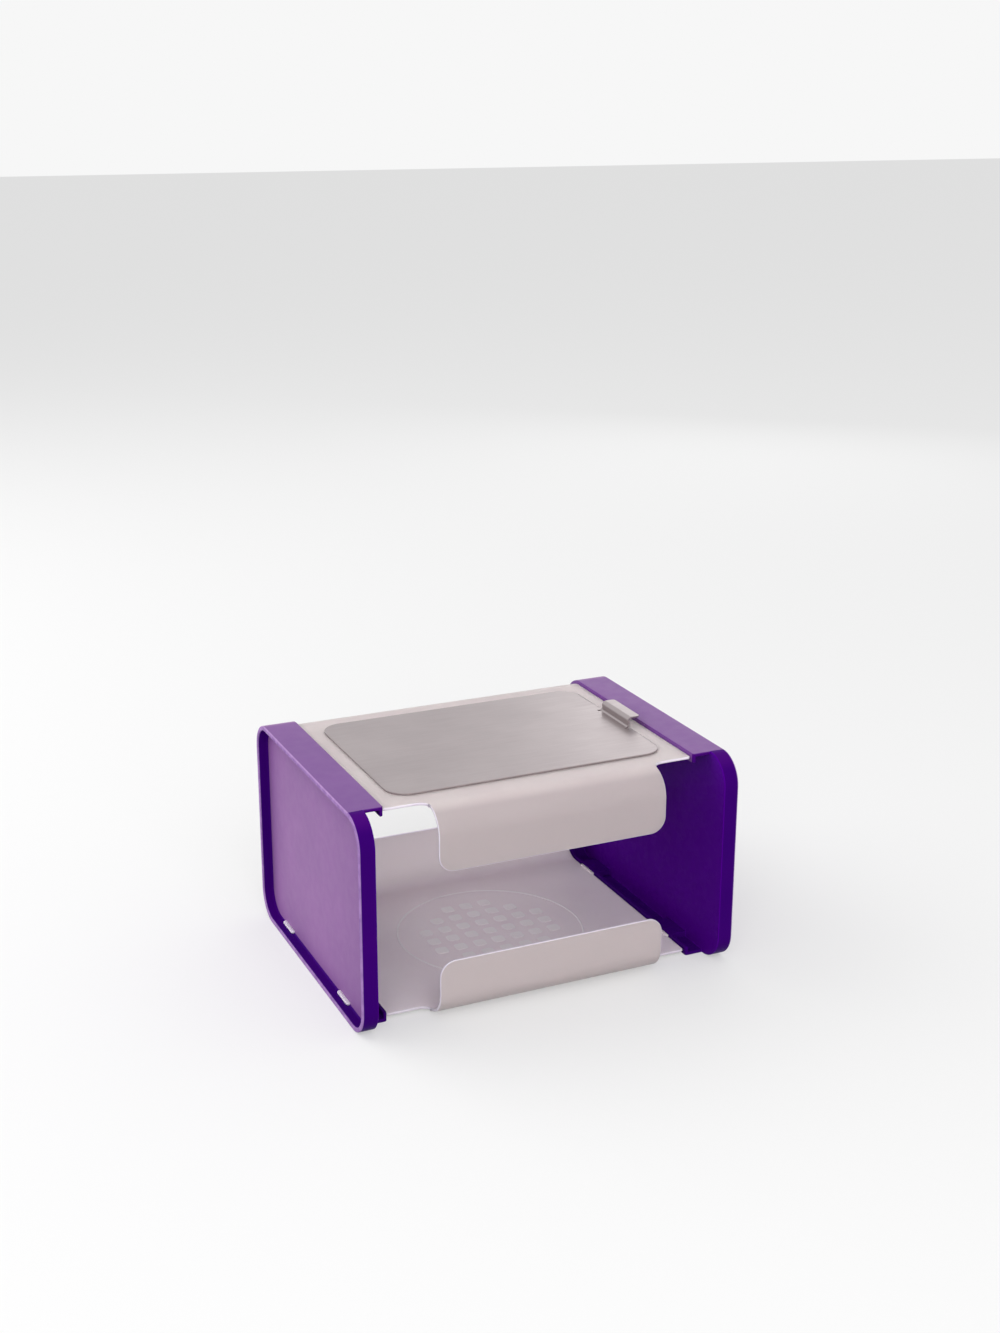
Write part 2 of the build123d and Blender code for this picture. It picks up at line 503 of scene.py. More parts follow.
class Nodes:
    """A material's node tree, built one node at a time."""

    def __init__(self, name: str) -> None:
        """Makes the material with one shader.

        Args:
            name: name of the material.
        """
        self.material = bpy.data.materials.new(name)
        self.material.use_nodes = True
        self.tree = self.material.node_tree
        self.shader = next(n for n in self.tree.nodes if n.type == "BSDF_PRINCIPLED")
        coordinates = self.tree.nodes.new("ShaderNodeTexCoord")
        self.place = coordinates.outputs["Object"]

    def add(self, kind: str, inputs: dict[str, object], **settings: object) -> bpy.types.Node:
        """Adds a node.

        Args:
            kind: Blender's name for the kind of node.
            inputs: a value or a socket for each named input.
            settings: the node's properties.

        Returns:
            The node.
        """
        node = self.tree.nodes.new(kind)
        for key, value in settings.items():
            setattr(node, key, value)
        for key, value in inputs.items():
            self.feed(node.inputs[key], value)
        return node

    def feed(self, socket: bpy.types.NodeSocket, value: object) -> None:
        """Sets an input, or links it.

        Args:
            socket: the input.
            value: a number, a colour, or the socket that feeds it.
        """
        if isinstance(value, bpy.types.NodeSocket):
            self.tree.links.new(value, socket)
        else:
            socket.default_value = value

    def noise(
        self, scale: float, detail: float = 3, stretch: Point = (1, 1, 1)
    ) -> bpy.types.NodeSocket:
        """Adds a cloudy pattern fixed to the piece.

        Args:
            scale: patches per metre.
            detail: number of finer layers.
            stretch: how much faster the pattern runs along each axis.

        Returns:
            Its value, from 0 to 1.
        """
        mapping = self.add("ShaderNodeMapping", {"Vector": self.place, "Scale": stretch})
        pattern = self.add(
            "ShaderNodeTexNoise",
            {"Vector": mapping.outputs["Vector"], "Scale": scale, "Detail": detail},
        )
        return pattern.outputs["Fac"]

    def spread(
        self, value: bpy.types.NodeSocket, low: float, high: float, out_low: float, out_high: float
    ) -> bpy.types.NodeSocket:
        """Maps a value from one range to another, with soft ends.

        Args:
            value: the value.
            low: where the first range starts.
            high: where it ends.
            out_low: what low becomes.
            out_high: what high becomes.

        Returns:
            The mapped value.
        """
        node = self.add(
            "ShaderNodeMapRange",
            {
                "Value": value,
                "From Min": low,
                "From Max": high,
                "To Min": out_low,
                "To Max": out_high,
            },
            interpolation_type="SMOOTHSTEP",
        )
        return node.outputs["Result"]

    def patches(
        self, scale: float, low: float = 0, high: float = 1, detail: float = 3
    ) -> bpy.types.NodeSocket:
        """Gives soft patches, so many per metre, that run between two values."""
        return self.spread(self.noise(scale, detail), *PATCHES, low, high)

    def blend(self, share: object, first: object, second: object) -> bpy.types.NodeSocket:
        """Mixes two colours.

        Args:
            share: how much of the second.
            first: the first colour.
            second: the second colour.

        Returns:
            The mixed colour.
        """
        node = self.tree.nodes.new("ShaderNodeMix")
        node.data_type = "RGBA"
        self.feed(node.inputs["Factor"], share)
        self.feed(node.inputs[6], first)
        self.feed(node.inputs[7], second)
        return node.outputs[2]

    def axis(self, name: str) -> bpy.types.NodeSocket:
        """Gives the place on the piece along one axis, in metres."""
        return self.add("ShaderNodeSeparateXYZ", {"Vector": self.place}).outputs[name]

    def math(self, operation: str, first: object, second: object = 0.0) -> bpy.types.NodeSocket:
        """Adds a sum or another operation on two numbers.

        Args:
            operation: Blender's name for it.
            first: the first number.
            second: the second number.

        Returns:
            The result.
        """
        node = self.tree.nodes.new("ShaderNodeMath")
        node.operation = operation
        self.feed(node.inputs[0], first)
        self.feed(node.inputs[1], second)
        return node.outputs[0]

    def bump(self, height: bpy.types.NodeSocket, depth: float, strength: float) -> None:
        """Gives the shader a relief.

        Args:
            height: the relief's height, from 0 to 1.
            depth: what a height of 1 is, in metres.
            strength: from 0 to 1.
        """
        node = self.add(
            "ShaderNodeBump", {"Height": height, "Distance": depth, "Strength": strength}
        )
        self.tree.links.new(node.outputs["Normal"], self.shader.inputs["Normal"])

    def fine(self, relief: Relief) -> None:
        """Gives the shader the fine relief of a finish."""
        self.bump(self.noise(relief.scale, detail=2), relief.depth, relief.strength)

    def shade(self, **inputs: object) -> bpy.types.Material:
        """Sets the shader's inputs.

        Args:
            inputs: a value or a socket for each input, with _ for a space.

        Returns:
            The material.
        """
        for key, value in inputs.items():
            self.feed(self.shader.inputs[key.replace("_", " ")], value)
        return self.material


@dataclass(frozen=True)
class MouldedPurple:
    """Purple moulded plastic, polished, satin or grained, with painted light: a painted highlight
    in patches on the rims' end faces, lighter purples on the satin and grained faces standing in
    for the light on them, polished faces painted paler towards the top, and a brighter blue painted
    on the shaded inner web.
    """

    texture: Texture
    deep: Colour = (0.034, 0.001, 0.135, 1)
    cloudy: Colour = (0.040, 0.001, 0.144, 1)
    # Painted light: a brighter, bluer purple for the inner web face, which lies in the box's shade.
    inside: Colour = (0.068, 0.001, 0.230, 1)
    # Painted light: the satin and grained purples are lighter copies of the deep one, standing in
    # for the light that falls on those faces.
    satin: Colour = (0.090, 0.006, 0.196, 1)
    satin_cloudy_painted_lit: Colour = (0.104, 0.011, 0.210, 1)
    grained: Colour = (0.142, 0.031, 0.230, 1)
    grained_cloudy_painted_lit: Colour = (0.170, 0.043, 0.256, 1)
    # Painted highlight: the pale lavender mixed in patches onto the rims' end faces, standing in
    # for light on them.
    rim_highlight_painted: Colour = (0.400, 0.230, 0.520, 1)
    rim_from: float = 111.7 * MM
    rim_to: float = 112.1 * MM
    # Painted highlight: from top_from to top_to the polished faces are paled towards the satin
    # purple.
    top_from: float = 117 * MM
    top_to: float = 124 * MM
    top_highlight_share: float = 0.4
    web_x: float = 103.5 * MM
    web_near: float = 0.5 * MM
    cloud_scale: float = 24
    cloud_band: tuple[float, float] = (0.35, 0.7)
    rim_highlight_scale: float = 160
    rim_highlight_band: tuple[float, float] = (0.6, 0.9)
    rough_scale: float = 150
    matt: tuple[float, float] = (0.46, 0.52)
    glossy: tuple[float, float] = (0.24, 0.30)
    grained_relief: Relief = Relief(2200, 0.04 * MM, 0.35)
    satin_relief: Relief = Relief(3200, 0.02 * MM, 0.25)
    polished_relief: Relief = Relief(500, 0.002 * MM, 0.1)

    def make(self) -> bpy.types.Material:
        """Builds the material."""
        nodes = Nodes(f"purple_{self.texture.name.lower()}")
        clouds = nodes.spread(nodes.noise(self.cloud_scale), *self.cloud_band, 0, 1)
        distance = nodes.math("ABSOLUTE", nodes.axis("X"))
        # Painted highlight: past rim_from along X the rims' end faces are mixed in patches towards
        # the pale lavender.
        rim = nodes.spread(distance, self.rim_from, self.rim_to, 0, 1)
        patchy = nodes.patches(self.rim_highlight_scale, *self.rim_highlight_band, detail=4)
        rim_highlight_share = nodes.math("MULTIPLY", rim, patchy)
        if self.texture is Texture.POLISHED:
            return self._polished(nodes, clouds, distance, rim_highlight_share)
        # Painted light: the grained and satin faces take lighter purples than the polished ones,
        # standing in for the light on them.
        if self.texture is Texture.GRAINED:
            base = nodes.blend(clouds, self.grained, self.grained_cloudy_painted_lit)
            nodes.fine(self.grained_relief)
        else:
            base = nodes.blend(clouds, self.satin, self.satin_cloudy_painted_lit)
            nodes.fine(self.satin_relief)
        return nodes.shade(
            Base_Color=nodes.blend(rim_highlight_share, base, self.rim_highlight_painted),
            Roughness=nodes.patches(self.rough_scale, *self.matt),
            IOR=1.5,
            Specular_IOR_Level=0.25,
            Sheen_Weight=0.4,
            Sheen_Roughness=0.45,
            Sheen_Tint=(1.0, 0.7, 0.88, 1),
        )

    def _polished(
        self,
        nodes: Nodes,
        clouds: bpy.types.NodeSocket,
        distance: bpy.types.NodeSocket,
        rim_highlight_share: bpy.types.NodeSocket,
    ) -> bpy.types.Material:
        """Finishes the polished plastic, with a painted highlight that makes it paler towards its
        top, and a brighter blue painted on the shaded web.

        Args:
            nodes: the material's nodes so far.
            clouds: share of the cloudy colour.
            distance: distance from the box's middle along its length.
            rim_highlight_share: share of the painted rim highlight.

        Returns:
            The material.
        """
        base = nodes.blend(clouds, self.deep, self.cloudy)
        # Painted highlight: the polished faces are mixed towards the satin purple towards the top.
        top = nodes.spread(nodes.axis("Z"), self.top_from, self.top_to, 0, self.top_highlight_share)
        base = nodes.blend(top, base, self.satin)
        # Painted light: the inner web face takes the brighter, bluer purple in place of the deep
        # one.
        off_web = nodes.math("ABSOLUTE", nodes.math("SUBTRACT", distance, self.web_x))
        base = nodes.blend(nodes.math("LESS_THAN", off_web, self.web_near), base, self.inside)
        nodes.fine(self.polished_relief)
        return nodes.shade(
            Base_Color=nodes.blend(rim_highlight_share, base, self.rim_highlight_painted),
            Roughness=nodes.patches(self.rough_scale, *self.glossy),
            IOR=1.5,
            Specular_IOR_Level=0.01,
            Specular_Tint=(0.60, 0.15, 1.0, 1),
        )


@dataclass(frozen=True)
class FrostedPlastic:
    """Milky see-through plastic with a fine frosting, denser inside and whiter on its pads, with
    painted light: painted shade darkens the flanges' outer faces, and paler, lilac inner faces with
    still paler upright inner walls stand in for the light and purple reflections inside the box.
    """

    face: Face
    clear: Colour = (0.790, 0.690, 0.685, 1)
    milky: Colour = (0.840, 0.745, 0.730, 1)
    # Painted shade: the upright flanges' outer faces are darker than the plate, the upper flange
    # darker still.
    lower: Colour = (0.695, 0.610, 0.612, 1)
    upper: Colour = (0.605, 0.530, 0.538, 1)
    # Painted light: paler, lilac inner faces that stand in for the light and the purple reflections
    # inside the box.
    inner: Colour = (0.945, 0.820, 0.870, 1)
    inner_milky_painted_light: Colour = (0.970, 0.860, 0.900, 1)
    raised: Colour = (1.000, 0.940, 0.955, 1)
    # Painted light: the upright inner walls, paler still, stand in for the light on them.
    wall_painted_light: Colour = (1.000, 0.900, 0.895, 1)
    wall_from: float = 74 * MM
    wall_to: float = 82 * MM
    half_height: float = 62.5 * MM
    plate_from: float = 60.5 * MM
    plate_to: float = 57 * MM
    lower_to: float = 37 * MM
    upper_from: float = 88 * MM
    floor_from: float = 58.75 * MM
    floor_to: float = 58.97 * MM
    field: float = 60 * MM
    cloud_scale: float = 26
    rough_scale: float = 200
    rough: tuple[float, float] = (0.40, 0.48)
    relief: Relief = Relief(2400, 0.02 * MM, 0.2)
    see_through: float = 0.42
    see_through_inside: float = 0.1
    milk: float = 0.5
    milk_inside: float = 0.35

    def make(self) -> bpy.types.Material:
        """Builds the material."""
        inside = self.face is Face.INNER
        nodes = Nodes(f"frosted_{self.face.name.lower()}")
        clouds = nodes.patches(self.cloud_scale, detail=4)
        height = nodes.math("ABSOLUTE", nodes.math("SUBTRACT", nodes.axis("Z"), self.half_height))
        if inside:
            off_x, off_y = (nodes.math("ABSOLUTE", nodes.axis(name)) for name in "XY")
            near = nodes.math("LESS_THAN", nodes.math("MAXIMUM", off_x, off_y), self.field)
            low = nodes.spread(height, self.floor_from, self.floor_to, 1, 0)
            # Painted light: the inner faces take the paler lilac colours, and the upright walls
            # paler still.
            base = nodes.blend(clouds, self.inner, self.inner_milky_painted_light)
            upright = nodes.spread(off_y, self.wall_from, self.wall_to, 0, 1)
            base = nodes.blend(upright, base, self.wall_painted_light)
            base = nodes.blend(nodes.math("MULTIPLY", low, near), base, self.raised)
        else:
            plate = nodes.blend(clouds, self.clear, self.milky)
            # Painted shade: the outer faces away from the plate take the darker flange colours, the
            # upper flange darker than the lower.
            above = nodes.spread(nodes.axis("Z"), self.lower_to, self.upper_from, 0, 1)
            flange = nodes.blend(above, self.lower, self.upper)
            level = nodes.spread(height, self.plate_to, self.plate_from, 0, 1)
            base = nodes.blend(level, flange, plate)
        nodes.fine(self.relief)
        return nodes.shade(
            Base_Color=base,
            Roughness=nodes.patches(self.rough_scale, *self.rough),
            IOR=1.49,
            Transmission_Weight=self.see_through_inside if inside else self.see_through,
            Subsurface_Weight=self.milk_inside if inside else self.milk,
            Subsurface_Radius=(1.0, 0.92, 0.95),
            Subsurface_Scale=7 * MM,
            Specular_IOR_Level=0.2,
        )


@dataclass(frozen=True)
class FrostedEdge:
    """The cut edge of the frosted sheet, with a painted glow: its pale lilac colour stands in for
    the light that gathers inside it.
    """

    # Painted glow: pale lilac colours that stand in for the light gathered in the cut edges.
    pale: Colour = (0.750, 0.650, 0.780, 1)
    bright: Colour = (0.810, 0.720, 0.840, 1)
    cloud_scale: float = 90
    rough_scale: float = 240
    rough: tuple[float, float] = (0.30, 0.38)
    relief: Relief = Relief(1800, 0.02 * MM, 0.25)

    def make(self) -> bpy.types.Material:
        """Builds the material."""
        nodes = Nodes("frosted_edge")
        colour = nodes.blend(nodes.patches(self.cloud_scale), self.pale, self.bright)
        nodes.fine(self.relief)
        return nodes.shade(
            Base_Color=colour,
            Roughness=nodes.patches(self.rough_scale, *self.rough),
            Subsurface_Weight=0.8,
            Subsurface_Radius=(1.0, 0.95, 1.0),
            Subsurface_Scale=5 * MM,
            Coat_Weight=0.3,
            Coat_Roughness=0.2,
        )


@dataclass(frozen=True)
class SatinAluminium:
    """Rolled sheet with a satin surface and a faint grain along its length."""

    light: Colour = (0.446, 0.392, 0.398, 1)
    dull: Colour = (0.412, 0.359, 0.367, 1)
    cloud_scale: float = 26
    grain_scale: float = 900
    grain_stretch: Point = (0.05, 1, 1)
    grain_depth: float = 0.01 * MM
    grain_strength: float = 0.2
    rough: tuple[float, float] = (0.30, 0.38)

    def make(self) -> bpy.types.Material:
        """Builds the material."""
        nodes = Nodes("satin_aluminium")
        clouds = nodes.patches(self.cloud_scale, detail=4)
        grain = nodes.noise(self.grain_scale, stretch=self.grain_stretch)
        nodes.bump(grain, self.grain_depth, self.grain_strength)
        return nodes.shade(
            Base_Color=nodes.blend(clouds, self.light, self.dull),
            Metallic=1.0,
            Roughness=nodes.spread(grain, *PATCHES, *self.rough),
        )


# ---------------------------------------------------------------- the pieces


@dataclass
class EndPanel:
    """A moulded end: a dish, open outwards, with a lip along its top, back and bottom."""

    low: Vector
    high: Vector
    corner_radius: float = 17 * MM
    rim_depth: float = 9 * MM
    web_thickness: float = 2.8 * MM
    rim_wall: float = 2.6 * MM
    lip_thickness: float = 2 * MM
    lip_flange_drop: float = 3.5 * MM
    lip_flange_thickness: float = 2 * MM
    lip_end_radius: float = 1.5 * MM
    rim_round: float = 0.5 * MM
    floor_round: float = 1.4 * MM
    edge_round: float = 0.4 * MM
    slot_width: float = 16.8 * MM
    slot_height: float = 1.8 * MM
    slot_centres: tuple[float, float] = TAB_CENTRES
    sleeve_wall: float = 1.6 * MM
    slot_round: float = 0.3 * MM
    sleeve_gap: float = 0.1 * MM
    corner_steps: int = 20
    lip_end_steps: int = 5
    rim_steps: int = 4
    edge_steps: int = 3

    def __post_init__(self) -> None:
        """Works out the places that follow from the sizes."""
        self.web_x = self.high.x - self.rim_depth
        self.recess_x = self.web_x + self.web_thickness
        self.front_y = self.low.y + self.corner_radius
        self.middle_z = (self.low.z + self.high.z) / 2

    def build(self, name: str) -> bpy.types.Object:
        """Models the right-hand end.

        Args:
            name: name of the piece.

        Returns:
            The finished mesh object.
        """
        bench = Bench(name)
        bench.block((self.web_x, self.low.y, self.low.z), tuple(self.high))
        bench.edges(lambda a, b: abs(a.x - b.x) > self.rim_depth / 2)
        bench.round_edges(self.corner_radius, self.corner_steps)
        self._sink_dish(bench)
        self._raise_lip(bench)
        self._round(bench)
        panel = bench.close()
        combine(panel, self._at_slots("sleeve", self._sleeve), "UNION")
        combine(panel, self._at_slots("slot_cutter", self._slot), "DIFFERENCE")
        smooth(panel)
        self._mark_finishes_and_painted_light(panel)
        return panel

    def _sink_dish(self, bench: Bench) -> None:
        """Sinks the outer face inside the rim."""
        bench.faces(lambda c, n: n.x > FACING)
        bench.inset(self.rim_wall)
        bench.extrude((self.recess_x - self.high.x, 0, 0))

    def _raise_lip(self, bench: Bench) -> None:
        """Raises the lip from the inner face, and turns its edge in."""
        near = 0.1 * MM
        bench.faces(lambda c, n: n.x < -FACING)
        bench.inset(self.lip_thickness)
        half_y = self.high.y - self.lip_thickness - near
        half_z = self.middle_z - self.lip_thickness - near

        def on_band(c: Vector, n: Vector) -> bool:
            """Says whether a face is in the band round the inner face, behind the front."""
            inside = abs(c.y) < half_y and abs(c.z - self.middle_z) < half_z
            corner_y = abs(c.y) - (self.high.y - self.corner_radius)
            corner_z = abs(c.z - self.middle_z) - (self.middle_z - self.corner_radius)
            in_corner = corner_y > 0 and corner_z > 0
            off_centre = math.hypot(corner_y, corner_z)
            if in_corner:
                inside = off_centre < self.corner_radius - self.lip_thickness - near
            return n.x < -FACING and c.y > self.front_y and not inside

        bench.faces(on_band)
        flange_x = self.low.x + self.lip_flange_thickness
        bench.extrude((flange_x - self.web_x, 0, 0))
        bench.extrude((self.low.x - flange_x, 0, 0))

        def faces_in(c: Vector, n: Vector) -> bool:
            """Says whether a face is on the inner side of the lip's last stretch."""
            out = Vector((0, c.y, c.z - self.middle_z))
            return c.x < flange_x - near and abs(n.x) < ACROSS and n.dot(out) < 0

        bench.faces(faces_in)
        bench.grow(self.lip_flange_drop)

    def _round(self, bench: Bench) -> None:
        """Rounds the lip's front corners, the rim, the dish's floor and every other edge."""
        near = 0.05 * MM
        bench.edges(
            lambda a, b: all(
                max(abs(p.x - self.low.x), abs(p.y - self.front_y)) < near for p in (a, b)
            )
        )
        bench.round_edges(self.lip_end_radius, self.lip_end_steps)
        bench.sharp_edges(SHARP_TURN, lambda a, b: min(a.x, b.x) > self.high.x - near)
        bench.round_edges(self.rim_round, self.rim_steps)
        bench.sharp_edges(
            SHARP_TURN, lambda a, b: max(abs(p.x - self.recess_x) for p in (a, b)) < near
        )
        bench.round_edges(self.floor_round, self.rim_steps)
        bench.sharp_edges(SHARP_TURN, lambda a, b: max(a.x, b.x) < self.web_x + near)
        bench.round_edges(self.edge_round, self.edge_steps)

    def _mark_finishes_and_painted_light(self, panel: bpy.types.Object) -> None:
        """Marks the dish's grained floor, and the satin upper lip and skin behind the front, which
        also get lighter purples as painted light; the other faces stay deep purple.
        """
        near = 0.6 * MM
        for place in Texture:
            if place.value >= len(panel.data.materials):
                panel.data.materials.append(None)
        for face in panel.data.polygons:
            c, n = face.center, face.normal
            off_y = max(abs(c.y) - (self.high.y - self.corner_radius), 0)
            off_z = max(abs(c.z - self.middle_z) - (self.middle_z - self.corner_radius), 0)
            on_skin = math.hypot(off_y, off_z) > self.corner_radius - near and c.y > self.front_y
            on_floor = n.x > FACING and self.web_x < c.x < self.recess_x + near
            on_lip = n.x < -FACING and c.x < self.low.x + near and c.z > self.middle_z
            texture = Texture.POLISHED
            if on_skin or on_lip:
                texture = Texture.SATIN
            elif on_floor:
                texture = Texture.GRAINED
            face.material_index = texture.value

    def _at_slots(
        self, name: str, shape: Callable[[float], tuple[float, float, float, float, float]]
    ) -> list[bpy.types.Object]:
        """Makes a rounded block at each slot, below and above.

        Args:
            name: name of the blocks.
            shape: gives a lower block's X and Z ranges and half its width.

        Returns:
            The four blocks.
        """
        blocks = []
        for centre in self.slot_centres:
            for upper in (False, True):
                x_from, x_to, z_from, z_to, half = shape(centre)
                if upper:
                    z_from, z_to = 2 * self.middle_z - z_to, 2 * self.middle_z - z_from
                bench = Bench(name)
                bench.block((x_from, centre - half, z_from), (x_to, centre + half, z_to))
                bench.edges(lambda a, b: abs(a.x - b.x) > MM)
                bench.round_edges(self.slot_round, self.edge_steps)
                blocks.append(bench.close())
        return blocks

    def _sleeve(self, centre: float) -> tuple[float, float, float, float, float]:
        """Gives the guide that closes the lip's channel round a tab."""
        x_from = self.low.x + self.lip_flange_thickness / 2
        z_from = self.low.z + self.lip_thickness / 2
        z_to = self.low.z + self.lip_thickness + self.lip_flange_drop - self.sleeve_gap
        half = self.slot_width / 2 + self.sleeve_wall
        return x_from, self.web_x + self.web_thickness / 2, z_from, z_to, half

    def _slot(self, centre: float) -> tuple[float, float, float, float, float]:
        """Gives the way for a tab, from the lip's free edge to the dish."""
        z_from = self.low.z + self.rim_wall
        x_to = self.recess_x + MM
        return self.low.x - MM, x_to, z_from, z_from + self.slot_height, self.slot_width / 2


@dataclass
class FrostedPanel:
    """A sheet with a flange along its front and its back, tabs at its ends and a relief."""

    low: Vector
    high: Vector
    half_length: float = 92.2 * MM
    thickness: float = 1.5 * MM
    bend_radius: float = 15 * MM
    flange_half_width: float = 67.5 * MM
    front_corner_radius: float = 9 * MM
    rear_corner_radius: float = 3 * MM
    notch_setback: float = 2 * MM
    notch_fillet: float = 6.5 * MM
    plate_corner_radius: float = 1.5 * MM
    edge_round: float = 0.4 * MM
    tab_width: float = 16.4 * MM
    tab_thickness: float = 1.4 * MM
    tab_protrusion: float = 2 * MM
    tab_middle: float = 3.5 * MM
    tab_root_length: float = 1 * MM
    tab_corner_radius: float = 1.5 * MM
    tab_centres: tuple[float, float] = TAB_CENTRES
    relief_height: float = 0.4 * MM
    ring_radius: float = 55 * MM
    ring_width: float = 1.4 * MM
    pad_size: float = 7.5 * MM
    pad_pitch: float = 12 * MM
    pad_corner_radius: float = 2 * MM
    pad_field_radius: float = 43 * MM
    pad_round: float = 0.36 * MM
    relief_sunk: float = 0.3 * MM
    pad_steps: int = 4
    corner_steps: int = 5
    edge_steps: int = 3

    def __post_init__(self) -> None:
        """Works out the places that follow from the sizes."""
        self.face_y = self.high.y
        self.bend_y = self.face_y - self.bend_radius
        upright = self.high.z - self.low.z - self.bend_radius
        self.flat_y = self.bend_y + self.bend_radius * math.pi / 2 + upright
        self.notch_y = self.bend_y - self.notch_setback
        self.floor_z = self.low.z + self.thickness

    def build(self, name: str) -> bpy.types.Object:
        """Models the lower panel.

        Args:
            name: name of the piece.

        Returns:
            The finished mesh object.
        """
        bench = Bench(name)
        level = self.low.z
        bench.sheet(
            (-self.half_length, -self.notch_y, level), (self.half_length, self.flat_y, level)
        )
        for side in (-1, 1):
            bench.cut_across((side * self.flange_half_width, 0, level), (1, 0, 0))
        bench.edges(
            lambda a, b: max(a.y, b.y) < -self.notch_y + MM
            and max(abs(a.x), abs(b.x)) < self.flange_half_width + MM
        )
        bench.extrude((0, self.notch_y - self.flat_y, 0))
        for _ in Face:
            bench.obj.data.materials.append(None)
        self._round_outline(bench)
        for start in (self.bend_y, -self.bend_y):
            bench.fold(1, start, level, self.bend_radius, 1)
        panel = bench.close()
        apply_modifier(
            panel,
            "SOLIDIFY",
            thickness=self.thickness,
            offset=1,
            use_even_offset=True,
            material_offset_rim=Face.EDGE.value,
        )
        recalculate(panel)
        round_sheet(panel, self.edge_round, material=Face.EDGE.value)
        recalculate(panel)
        combine(panel, self._tabs(), "UNION")
        combine(panel, self._relief(), "UNION")
        recalculate(panel)
        smooth(panel)
        self._mark_faces(panel)
        return panel

    def _mark_faces(self, panel: bpy.types.Object) -> None:
        """Gives the tabs the cut edge's finish with its painted glow, and the inner faces their
        own.
        """
        for face in panel.data.polygons:
            c = face.center
            past_y = max(abs(c.y) - self.bend_y, 0)
            past_z = max(self.low.z + self.bend_radius - c.z, 0)
            depth = self.bend_radius - math.hypot(past_y, past_z)
            if abs(c.x) > self.high.x - self.tab_protrusion:
                face.material_index = Face.EDGE.value
            elif face.material_index == Face.OUTER.value and depth > self.thickness / 2:
                face.material_index = Face.INNER.value

    def _round_outline(self, bench: Bench) -> None:
        """Rounds the flat sheet's corners, while it is flat."""
        near = 0.1 * MM
        corners = (
            (self.flange_half_width, -self.flat_y, self.front_corner_radius, 14),
            (self.half_length, self.flat_y, self.rear_corner_radius, 6),
            (self.half_length, -self.notch_y, self.plate_corner_radius, self.corner_steps),
            (self.flange_half_width, -self.notch_y, self.notch_fillet, 12),
        )
        for x, y, radius, steps in corners:
            bench.points(lambda p: abs(abs(p.x) - x) < near and abs(p.y - y) < near)
            bench.round_corners(radius, steps)

    def _tabs(self) -> list[bpy.types.Object]:
        """Makes the two tabs at each end."""
        tabs = []
        half_y, half_z = self.tab_width / 2, self.tab_thickness / 2
        for side in (-1, 1):
            for centre in self.tab_centres:
                root = side * (self.half_length - self.tab_root_length)
                tip = side * self.high.x
                bench = Bench("tab")
                bench.block(
                    (min(root, tip), centre - half_y, self.tab_middle - half_z),
                    (max(root, tip), centre + half_y, self.tab_middle + half_z),
                )
                bench.edges(lambda a, b: abs(a.z - b.z) > MM)
                bench.round_edges(self.tab_corner_radius, self.corner_steps)
                bench.sharp_edges(SHARP_TURN, lambda a, b: True)
                bench.round_edges(self.edge_round, self.edge_steps)
                bench.cut_across((tip - side * self.tab_protrusion, 0, 0), (1, 0, 0))
                tabs.append(bench.close())
        return tabs

    def _relief(self) -> list[bpy.types.Object]:
        """Makes the ring and the square grid of pads on the inner face."""
        ring_sunk = self.relief_sunk / 4
        ring = Bench("ring").ring(
            (0, 0, self.floor_z - ring_sunk),
            self.ring_radius,
            self.ring_width,
            2 * (self.relief_height + ring_sunk),
        )
        shapes = [ring.close()]
        count = int(self.pad_field_radius // self.pad_pitch)
        half = self.pad_size / 2
        for i in range(-count, count + 1):
            for j in range(-count, count + 1):
                x, y = i * self.pad_pitch, j * self.pad_pitch
                if math.hypot(x, y) > self.pad_field_radius:
                    continue
                bench = Bench("pad")
                bench.block(
                    (x - half, y - half, self.floor_z - self.relief_sunk),
                    (x + half, y + half, self.floor_z + self.relief_height),
                )
                bench.edges(lambda a, b: abs(a.z - b.z) > self.relief_sunk)
                bench.round_edges(self.pad_corner_radius, self.pad_steps)
                bench.faces(lambda c, n: n.z > FACING)
                bpy.ops.mesh.region_to_loop()
                bench.round_edges(self.pad_round, self.edge_steps)
                shapes.append(bench.close())
        return shapes


